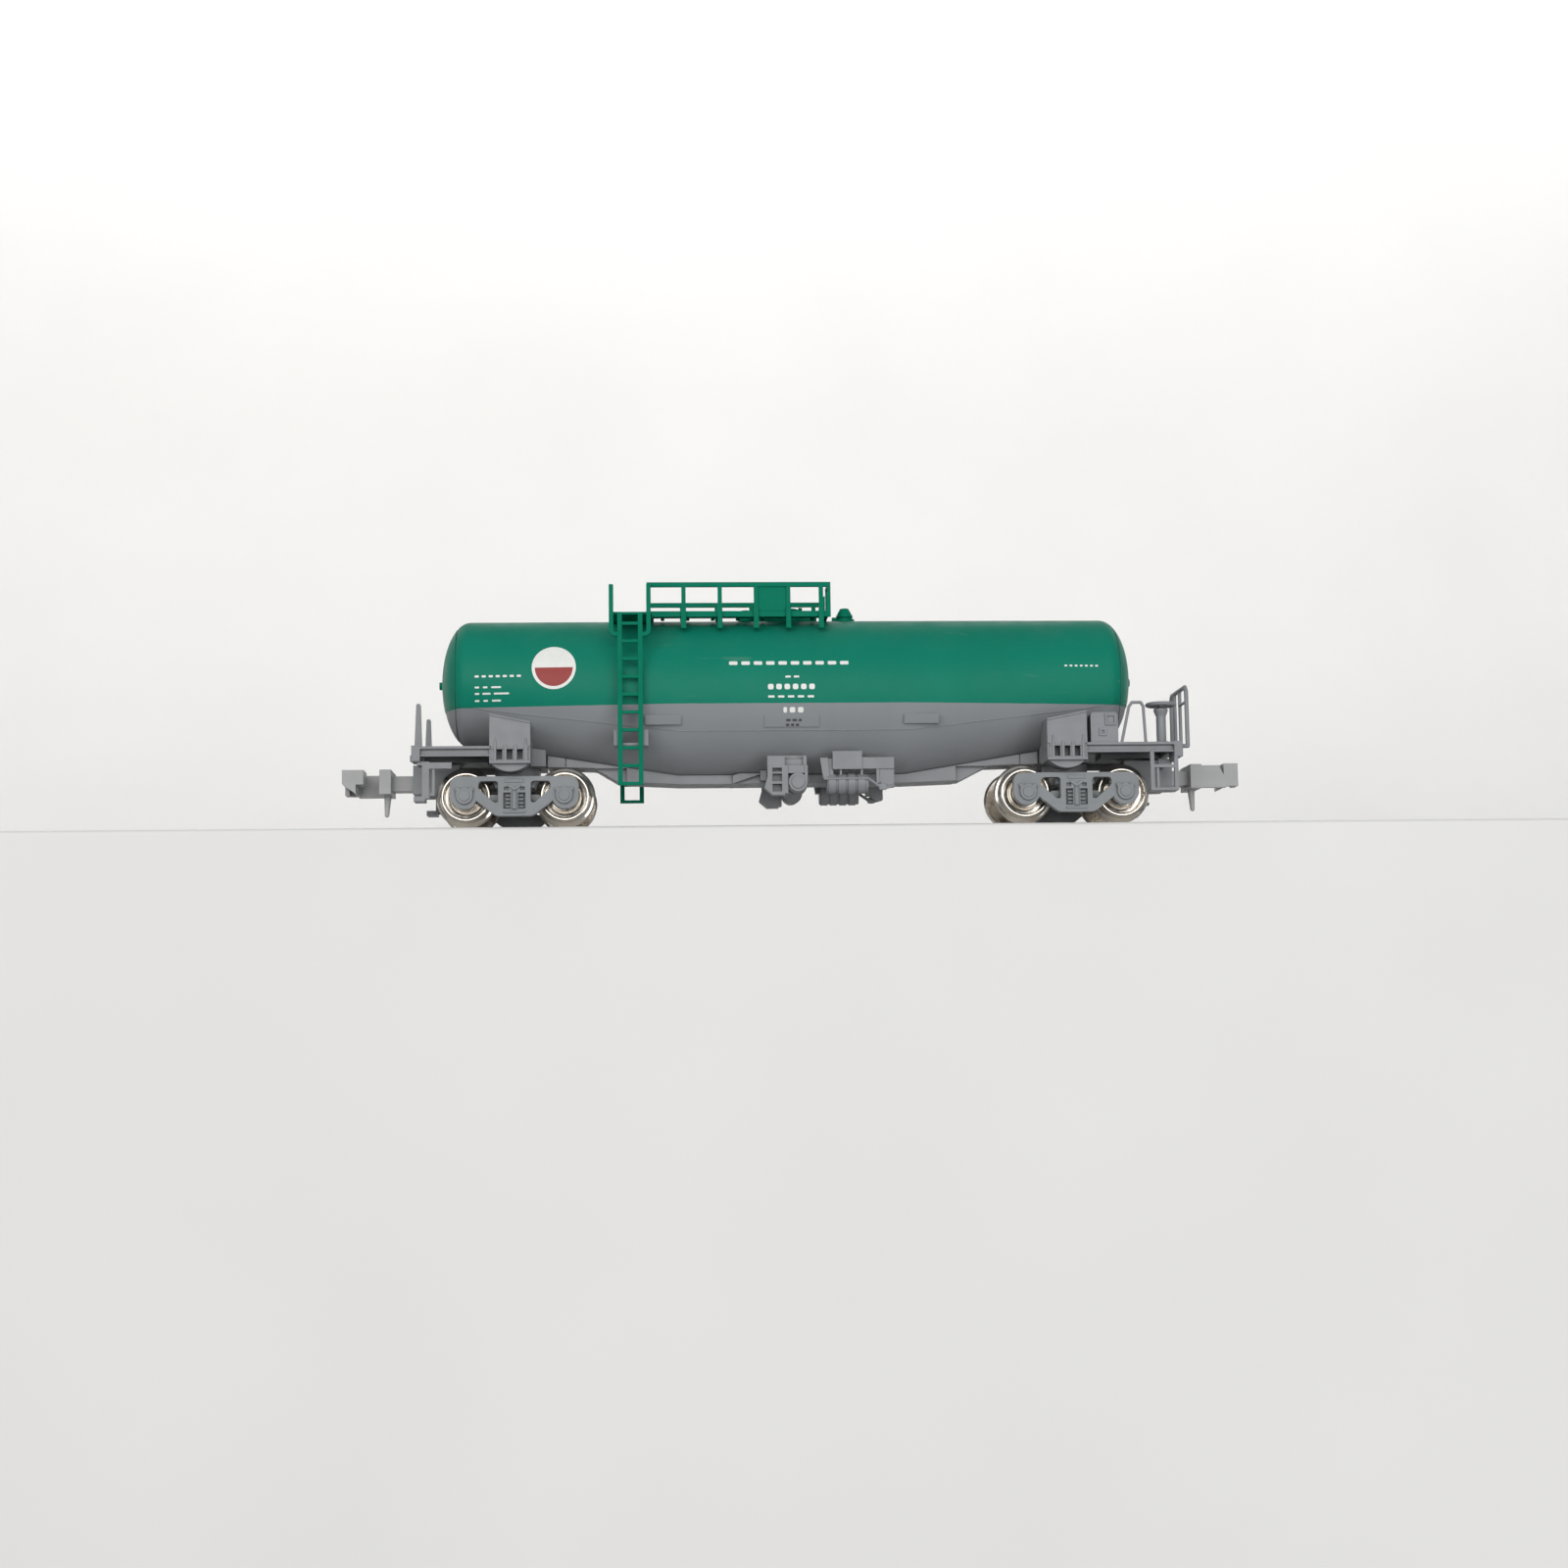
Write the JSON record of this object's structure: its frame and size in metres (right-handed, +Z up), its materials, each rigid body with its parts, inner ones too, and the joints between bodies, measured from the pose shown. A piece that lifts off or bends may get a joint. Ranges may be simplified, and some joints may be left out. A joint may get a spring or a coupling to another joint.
{
  "type": "model railway tank wagon",
  "caption": "Small-scale bogie tank wagon with a barrel that deepens to its middle, a railed top walkway, side ladders, end platforms with a hand brake, and hook couplers.",
  "frame": {"origin": "midway between the two bogies, on the wagon's centre line, level with the lowest point of the wheel flanges", "axes": "+X along the wagon towards the hand-brake end, +Z up, +Y to the side away from the viewer who sees the hand-brake end at the right"},
  "size_m": [0.102, 0.0194, 0.0275],
  "materials": {
    "tank_two_tone": "satin two-tone paint, green over gray",
    "tank_gray": "satin gray paint",
    "weight_steel": "plain rolled steel",
    "fittings_green": "moulded green",
    "walkway_green": "moulded green",
    "frame_gray": "moulded gray",
    "bogie_gray": "moulded gray",
    "coupler_gray": "moulded gray",
    "wheel_metal": "polished nickel plate",
    "axle_steel": "turned",
    "bush_plastic": "moulded black",
    "spring_steel": "wire"
  },
  "bodies": {
    "wagon": {"air_reservoir_far": "frame_gray", "air_reservoir_near": "frame_gray", "ballast_weight": "weight_steel", "brake_cylinder_far": "frame_gray", "brake_cylinder_near": "frame_gray", "end_handrail_front": "frame_gray", "end_post_far": "frame_gray", "end_post_near": "frame_gray", "hand_brake": "frame_gray", "keel": "frame_gray", "king_pin_front": "frame_gray", "king_pin_rear": "frame_gray", "ladder_bracket_far": "frame_gray", "ladder_bracket_near": "frame_gray", "ladder_far": "walkway_green", "ladder_near": "walkway_green", "manhole_and_valves": "fittings_green", "side_handrail_far": "frame_gray", "side_handrail_near": "frame_gray", "step_front_far": "frame_gray", "step_front_near": "frame_gray", "step_rear_far": "frame_gray", "step_rear_near": "frame_gray", "tank_shell_lower": "tank_gray", "tank_shell_upper": "tank_two_tone", "underframe_front": "frame_gray", "underframe_rear": "frame_gray", "valve_cabinet_far": "frame_gray", "valve_cabinet_near": "frame_gray", "vent_valve": "fittings_green", "walkway_deck": "walkway_green", "walkway_rail_far": "walkway_green", "walkway_rail_near": "walkway_green"},
    "bogie_front": {"bogie_frame_front": "bogie_gray", "pocket_cover_front": "bogie_gray"},
    "bogie_rear": {"bogie_frame_rear": "bogie_gray", "pocket_cover_rear": "bogie_gray"},
    "wheelset_1": {"axle_1": "axle_steel", "insulating_bush_1": "bush_plastic", "wheel_1_far": "wheel_metal", "wheel_1_near": "wheel_metal"},
    "wheelset_2": {"axle_2": "axle_steel", "insulating_bush_2": "bush_plastic", "wheel_2_far": "wheel_metal", "wheel_2_near": "wheel_metal"},
    "wheelset_3": {"axle_3": "axle_steel", "insulating_bush_3": "bush_plastic", "wheel_3_far": "wheel_metal", "wheel_3_near": "wheel_metal"},
    "wheelset_4": {"axle_4": "axle_steel", "insulating_bush_4": "bush_plastic", "wheel_4_far": "wheel_metal", "wheel_4_near": "wheel_metal"},
    "coupler_link_front": {"coupler_spring_front": "spring_steel"},
    "coupler_hook_front": {"coupler_front": "coupler_gray"},
    "coupler_link_rear": {"coupler_spring_rear": "spring_steel"},
    "coupler_hook_rear": {"coupler_rear": "coupler_gray"}
  },
  "joints": [
    {"name": "bogie_front_swivel", "type": "hinge", "parent": "wagon", "child": "bogie_front", "pos_m": [0.0314, 0, 0.005], "axis": [0, 0, 1], "range_deg": [-12, 12]},
    {"name": "coupler_front_swing", "type": "hinge", "parent": "bogie_front", "child": "coupler_link_front", "pos_m": [0.0406, 0, 0.00545], "axis": [0, 0, 1], "range_deg": [-8, 8], "stiffness_Nm_per_rad": 0.0003},
    {"name": "coupler_front_lift", "type": "hinge", "parent": "coupler_link_front", "child": "coupler_hook_front", "pos_m": [0.0406, 0, 0.00545], "axis": [0, -1, 0], "range_deg": [0, 8], "stiffness_Nm_per_rad": 0.0003},
    {"name": "bogie_rear_swivel", "type": "hinge", "parent": "wagon", "child": "bogie_rear", "pos_m": [-0.0314, 0, 0.005], "axis": [0, 0, 1], "range_deg": [-12, 12]},
    {"name": "coupler_rear_swing", "type": "hinge", "parent": "bogie_rear", "child": "coupler_link_rear", "pos_m": [-0.0406, 0, 0.00545], "axis": [0, 0, 1], "range_deg": [-8, 8], "stiffness_Nm_per_rad": 0.0003},
    {"name": "coupler_rear_lift", "type": "hinge", "parent": "coupler_link_rear", "child": "coupler_hook_rear", "pos_m": [-0.0406, 0, 0.00545], "axis": [0, 1, 0], "range_deg": [0, 8], "stiffness_Nm_per_rad": 0.0003},
    {"name": "wheelset_1_roll", "type": "hinge", "parent": "bogie_front", "child": "wheelset_1", "pos_m": [0.0369, 0, 0.0034], "axis": [0, 1, 0], "continuous": true},
    {"name": "wheelset_2_roll", "type": "hinge", "parent": "bogie_front", "child": "wheelset_2", "pos_m": [0.0259, 0, 0.0034], "axis": [0, 1, 0], "continuous": true},
    {"name": "wheelset_3_roll", "type": "hinge", "parent": "bogie_rear", "child": "wheelset_3", "pos_m": [-0.0259, 0, 0.0034], "axis": [0, 1, 0], "continuous": true},
    {"name": "wheelset_4_roll", "type": "hinge", "parent": "bogie_rear", "child": "wheelset_4", "pos_m": [-0.0369, 0, 0.0034], "axis": [0, 1, 0], "continuous": true}
  ]
}
